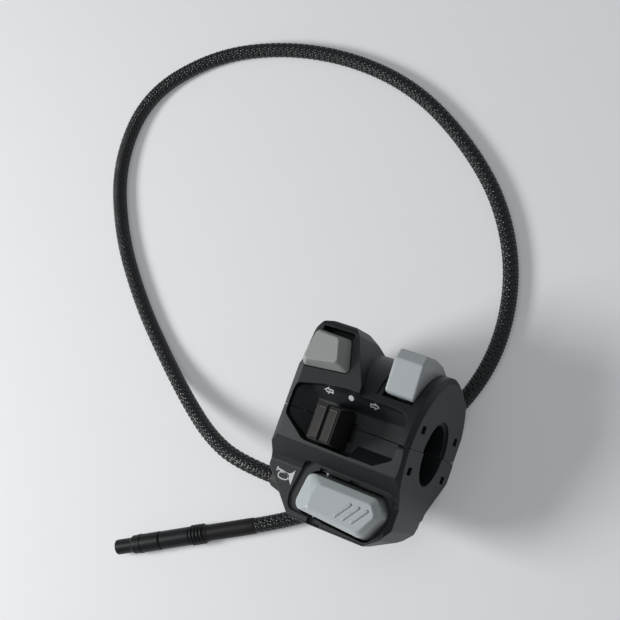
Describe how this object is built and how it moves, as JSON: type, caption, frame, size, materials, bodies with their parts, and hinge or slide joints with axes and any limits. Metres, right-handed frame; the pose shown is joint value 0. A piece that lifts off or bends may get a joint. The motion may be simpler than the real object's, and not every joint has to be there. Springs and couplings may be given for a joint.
{
  "type": "handlebar switch cluster",
  "caption": "Left-hand handlebar switch housing in two halves with high-beam key, turn-signal slider, horn button, pass trigger and a braided lead with a round connector.",
  "frame": {"origin": "middle of the handlebar bore, on its axis", "axes": "+X along the bar towards the end face with the wide bore mouth, +Y towards the high-beam key, +Z towards the rider's side"},
  "size_m": [0.1932, 0.2238, 0.0606],
  "materials": {
    "case_black": "fine-textured matte moulding",
    "key_grey": "satin light grey moulding",
    "button_grey": "satin pale grey moulding",
    "slider_black": "semi-gloss black-brown moulding",
    "pad_black": "fine lined pads",
    "tray_natural": "plain moulding",
    "switch_black": "plain moulding",
    "board_green": "lacquered glass-epoxy board",
    "screw_steel": "plated steel",
    "spring_steel": "bright spring steel",
    "insert_brass": "turned brass",
    "gland_rubber": "moulded rubber",
    "braid_black": "braided polyester sleeve",
    "shrink_black": "shrunk sleeve",
    "connector_black": "overmoulded connector"
  },
  "bodies": {
    "housing": {"upper_case": "case_black", "lower_case": "case_black", "clamp_screws": "screw_steel", "thread_inserts": "insert_brass", "beam_switch": "switch_black", "beam_spring": "spring_steel", "trigger_pin": "screw_steel", "trigger_switch": "switch_black", "trigger_spring": "spring_steel", "slider_base": "tray_natural", "contact_board": "board_green", "horn_pin": "screw_steel", "horn_switch": "switch_black", "horn_spring": "spring_steel", "circuit_board": "board_green", "board_screws": "screw_steel", "cable_gland": "gland_rubber", "cable": "braid_black", "heat_shrink": "shrink_black", "connector_collar": "connector_black", "connector_tail": "connector_black", "connector_nut": "connector_black", "connector_ring": "connector_black", "connector_shell": "connector_black", "connector_insert": "switch_black"},
    "turn_slider": {"slider_carrier": "slider_black", "detent_balls": "screw_steel", "detent_spring": "spring_steel", "knob_spring": "spring_steel"},
    "turn_knob": {"slider_knob": "slider_black", "knob_pads": "pad_black"},
    "beam_key": {"beam_key": "key_grey"},
    "pass_trigger": {"pass_trigger": "button_grey"},
    "horn_button": {"horn_button": "button_grey"}
  },
  "joints": [
    {"name": "turn_slide", "type": "slide", "parent": "housing", "child": "turn_slider", "axis": [1, 0, 0], "range_m": [-0.0036, 0.0036]},
    {"name": "turn_cancel", "type": "slide", "parent": "turn_slider", "child": "turn_knob", "axis": [0, 0, -1], "range_m": [0, 0.0016], "stiffness_N_per_m": 200, "springref_m": -0.002, "deforming": ["knob_spring"]},
    {"name": "beam_press", "type": "slide", "parent": "housing", "child": "beam_key", "axis": [0, 0, -1], "range_m": [0, 0.0018], "stiffness_N_per_m": 300, "springref_m": -0.002, "deforming": ["beam_spring"]},
    {"name": "pass_pull", "type": "hinge", "parent": "housing", "child": "pass_trigger", "pos_m": [0.01425, 0.0168, 0.01638], "axis": [1, 0, 0], "range_deg": [0, 8], "stiffness_Nm_per_rad": 0.05, "springref_deg": -11.46, "deforming": ["trigger_spring"]},
    {"name": "horn_press", "type": "hinge", "parent": "housing", "child": "horn_button", "pos_m": [-0.0045, -0.0262, 0.0132], "axis": [0, 1, 0], "range_deg": [0, 3.5], "stiffness_Nm_per_rad": 0.06, "springref_deg": -11.46, "deforming": ["horn_spring"]}
  ]
}
